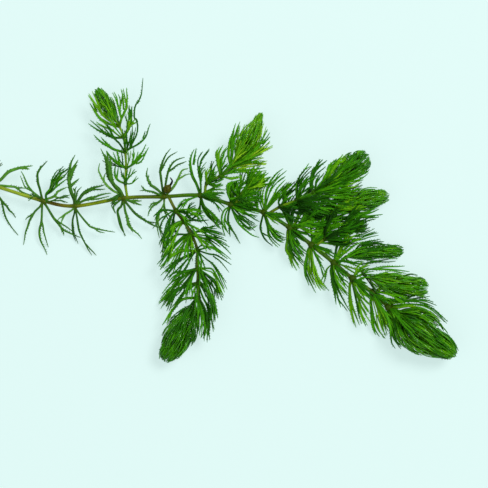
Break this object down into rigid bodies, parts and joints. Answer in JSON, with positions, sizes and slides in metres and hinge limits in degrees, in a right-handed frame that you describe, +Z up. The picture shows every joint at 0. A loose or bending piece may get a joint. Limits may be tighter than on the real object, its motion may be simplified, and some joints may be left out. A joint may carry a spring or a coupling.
{
  "type": "hornwort sprig",
  "caption": "Cut sprig of the aquarium plant hornwort, laid flat: a stem with whorls of thin forked leaves, side shoots with closed leafy buds, and a small spined nut.",
  "frame": {"origin": "on the surface the sprig lies on, under the middle of its outline", "axes": "+X along the sprig, from the cut end of the main stem towards its end bud; +Y across the sprig, to the side where most shoots are; +Z up from the surface"},
  "size_m": [0.2196, 0.1276, 0.0247],
  "materials": {
    "leaf": "thin moist leaves, mid to dark green with yellow-green edges and tips",
    "bud": "closed bundles of young leaves, bright fresh green with a wet sheen",
    "stem": "smooth round stem, olive to yellow-green, browner at the nodes",
    "nut": "olive-brown nut with a dark purple-black spine"
  },
  "bodies": {
    "root": {"main_bud": "bud", "main_stem": "stem", "main_whorl_01": "leaf", "main_whorl_02": "leaf", "main_whorl_03": "leaf", "main_whorl_04": "leaf", "main_whorl_05": "leaf", "main_whorl_06": "leaf", "main_whorl_07": "leaf", "main_whorl_08": "leaf", "main_whorl_09": "leaf", "main_whorl_10": "leaf", "main_whorl_11": "leaf", "main_whorl_12": "leaf", "main_whorl_13": "leaf", "main_whorl_14": "leaf", "nut": "nut", "shoot_a_bud": "bud", "shoot_b_bud": "bud", "shoot_b_stem": "stem", "shoot_b_whorl_1": "leaf", "shoot_b_whorl_2": "leaf", "shoot_b_whorl_3": "leaf", "shoot_b_whorl_4": "leaf", "shoot_b_whorl_5": "leaf", "shoot_c_bud": "bud", "shoot_c_stem": "stem", "shoot_c_whorl_1": "leaf", "shoot_c_whorl_2": "leaf", "shoot_c_whorl_3": "leaf", "shoot_c_whorl_4": "leaf", "shoot_c_whorl_5": "leaf", "shoot_c_whorl_6": "leaf", "shoot_c_whorl_7": "leaf", "shoot_d_bud": "bud", "shoot_d_stem": "stem", "shoot_d_whorl_1": "leaf", "shoot_d_whorl_2": "leaf", "shoot_d_whorl_3": "leaf", "shoot_e_bud": "bud", "shoot_e_stem": "stem", "shoot_e_whorl_1": "leaf", "shoot_e_whorl_2": "leaf", "shoot_f_bud": "bud", "shoot_f_stem": "stem", "shoot_f_whorl_1": "leaf", "shoot_f_whorl_2": "leaf", "shoot_f_whorl_3": "leaf", "shoot_f_whorl_4": "leaf", "shoot_g_bud": "bud", "shoot_g_stem": "stem", "shoot_g_whorl_1": "leaf", "shoot_g_whorl_2": "leaf", "shoot_g_whorl_3": "leaf", "shoot_h_bud": "bud", "shoot_h_stem": "stem", "shoot_h_whorl_1": "leaf", "shoot_h_whorl_2": "leaf", "shoot_i_bud": "bud", "shoot_j_bud": "bud"}
  },
  "joints": []
}
